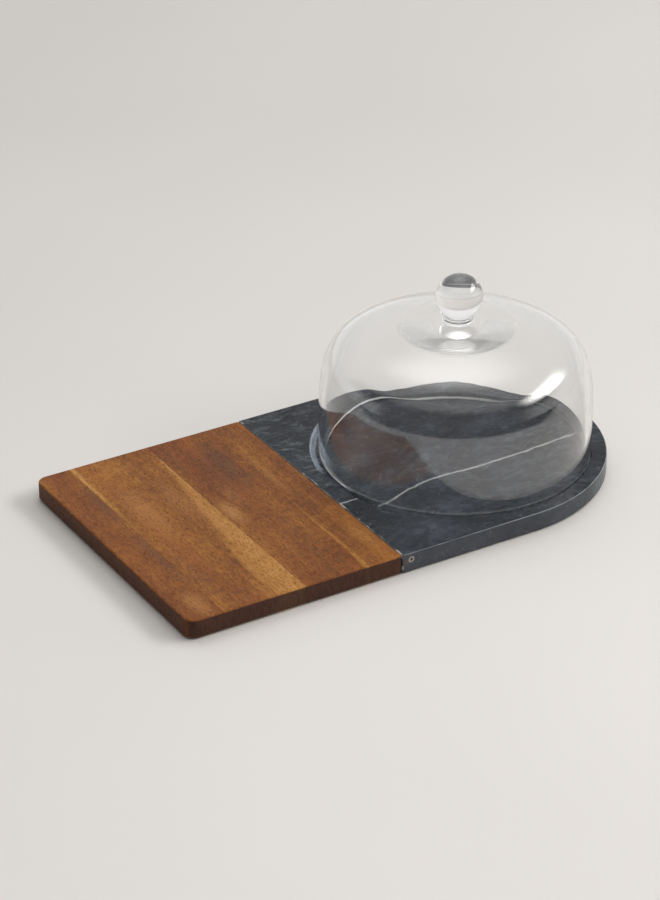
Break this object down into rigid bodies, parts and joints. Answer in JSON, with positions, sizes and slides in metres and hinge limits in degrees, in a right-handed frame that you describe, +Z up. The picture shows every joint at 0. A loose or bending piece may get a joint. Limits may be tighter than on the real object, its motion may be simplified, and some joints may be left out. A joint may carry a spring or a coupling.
{
  "type": "cheese dome",
  "caption": "Serving board of wood joined to round-ended dark marble, with a clear glass bell and ball knob that stands in a shallow round pocket in the marble and lifts off.",
  "frame": {"origin": "centre of the board's outline, on the plane its feet stand on", "axes": "+X runs along the board from the wood end to the marble's round end, +Y across the board, +Z up, along the way the glass bell lifts off"},
  "size_m": [0.435, 0.25, 0.169],
  "materials": {
    "acacia": "oiled, satin",
    "dark_marble": "honed, with white veins",
    "steel": "plain",
    "silicone": "matt, translucent",
    "clear_glass": "clear, polished"
  },
  "bodies": {
    "board": {"wood_stave_1": "acacia", "wood_stave_2": "acacia", "wood_stave_3": "acacia", "wood_stave_4": "acacia", "marble_slab": "dark_marble", "dowel_pin_1": "steel", "dowel_pin_2": "steel", "bumper_foot_1": "silicone", "bumper_foot_2": "silicone", "bumper_foot_3": "silicone", "bumper_foot_4": "silicone"},
    "dome": {"glass_bell": "clear_glass", "glass_knob": "clear_glass"}
  },
  "joints": [
    {"name": "dome_lift", "type": "slide", "parent": "board", "child": "dome", "axis": [0, 0, 1], "range_m": [0, 0.2]}
  ]
}
